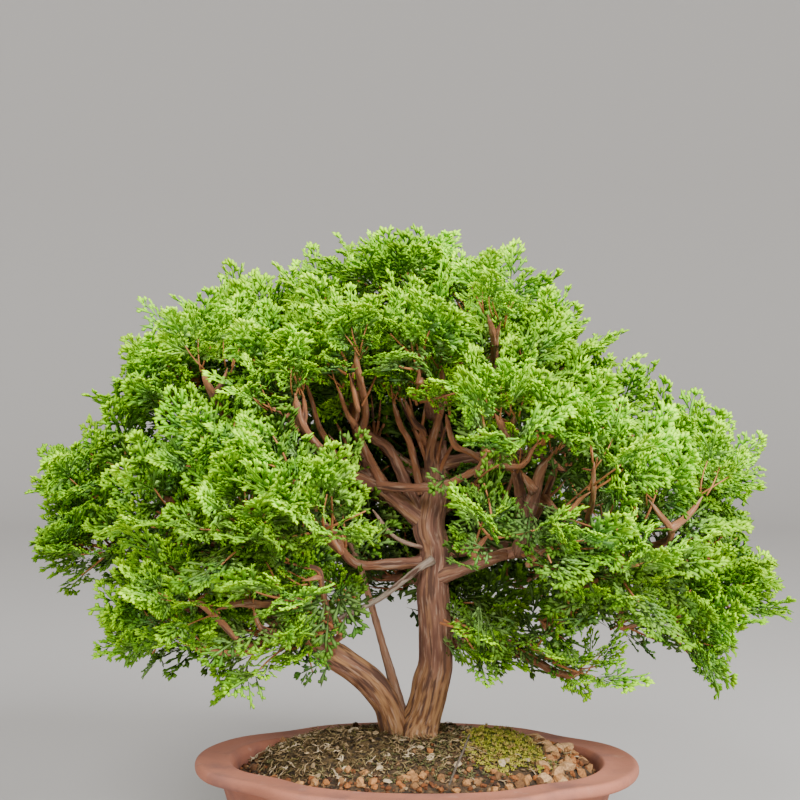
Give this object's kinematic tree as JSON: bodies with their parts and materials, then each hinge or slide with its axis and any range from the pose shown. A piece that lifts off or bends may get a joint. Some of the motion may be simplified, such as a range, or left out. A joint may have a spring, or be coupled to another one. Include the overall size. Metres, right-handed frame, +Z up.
{
  "type": "hinoki cypress bonsai",
  "caption": "Informal upright hinoki cypress bonsai with a forked trunk, open front and layered fan-like sprays, in a lobed unglazed terracotta pot with moss on the soil",
  "frame": {"origin": "On the surface the pot stands on, under the middle of the crown's box", "axes": "+Z up, +X to the right as seen from the front, front of the tree towards -Y; the crown is longest along X"},
  "size_m": [0.4935, 0.374, 0.429],
  "materials": {
    "terracotta": "unglazed, matte",
    "soil_mix": "granular, matte",
    "green_moss": "tufted, matte",
    "dry_moss": "fibrous, matte",
    "bark": "fibrous, matte",
    "foliage": "waxy, satin",
    "screen_plastic": "matte"
  },
  "bodies": {
    "root": {"pot": "terracotta", "soil": "soil_mix", "moss_green": "green_moss", "moss_dry": "dry_moss", "trunk": "bark", "drain_screen_left": "screen_plastic", "drain_screen_right": "screen_plastic", "spray_01": "foliage", "spray_02": "foliage", "spray_03": "foliage", "spray_04": "foliage", "spray_05": "foliage", "spray_06": "foliage", "spray_07": "foliage", "spray_08": "foliage", "spray_09": "foliage", "spray_10": "foliage", "spray_11": "foliage", "spray_12": "foliage", "spray_13": "foliage", "spray_14": "foliage", "spray_15": "foliage", "spray_16": "foliage", "spray_17": "foliage", "spray_18": "foliage", "spray_19": "foliage", "spray_20": "foliage", "spray_21": "foliage", "spray_22": "foliage", "spray_23": "foliage", "spray_24": "foliage", "spray_25": "foliage", "spray_26": "foliage", "spray_27": "foliage", "spray_28": "foliage", "spray_29": "foliage", "spray_30": "foliage", "spray_31": "foliage", "spray_32": "foliage", "spray_33": "foliage", "spray_34": "foliage", "spray_35": "foliage", "spray_36": "foliage", "spray_37": "foliage", "spray_38": "foliage", "spray_39": "foliage", "spray_40": "foliage", "spray_41": "foliage", "spray_42": "foliage", "spray_43": "foliage", "spray_44": "foliage", "spray_45": "foliage", "spray_46": "foliage", "spray_47": "foliage", "spray_48": "foliage", "spray_49": "foliage"}
  },
  "joints": []
}
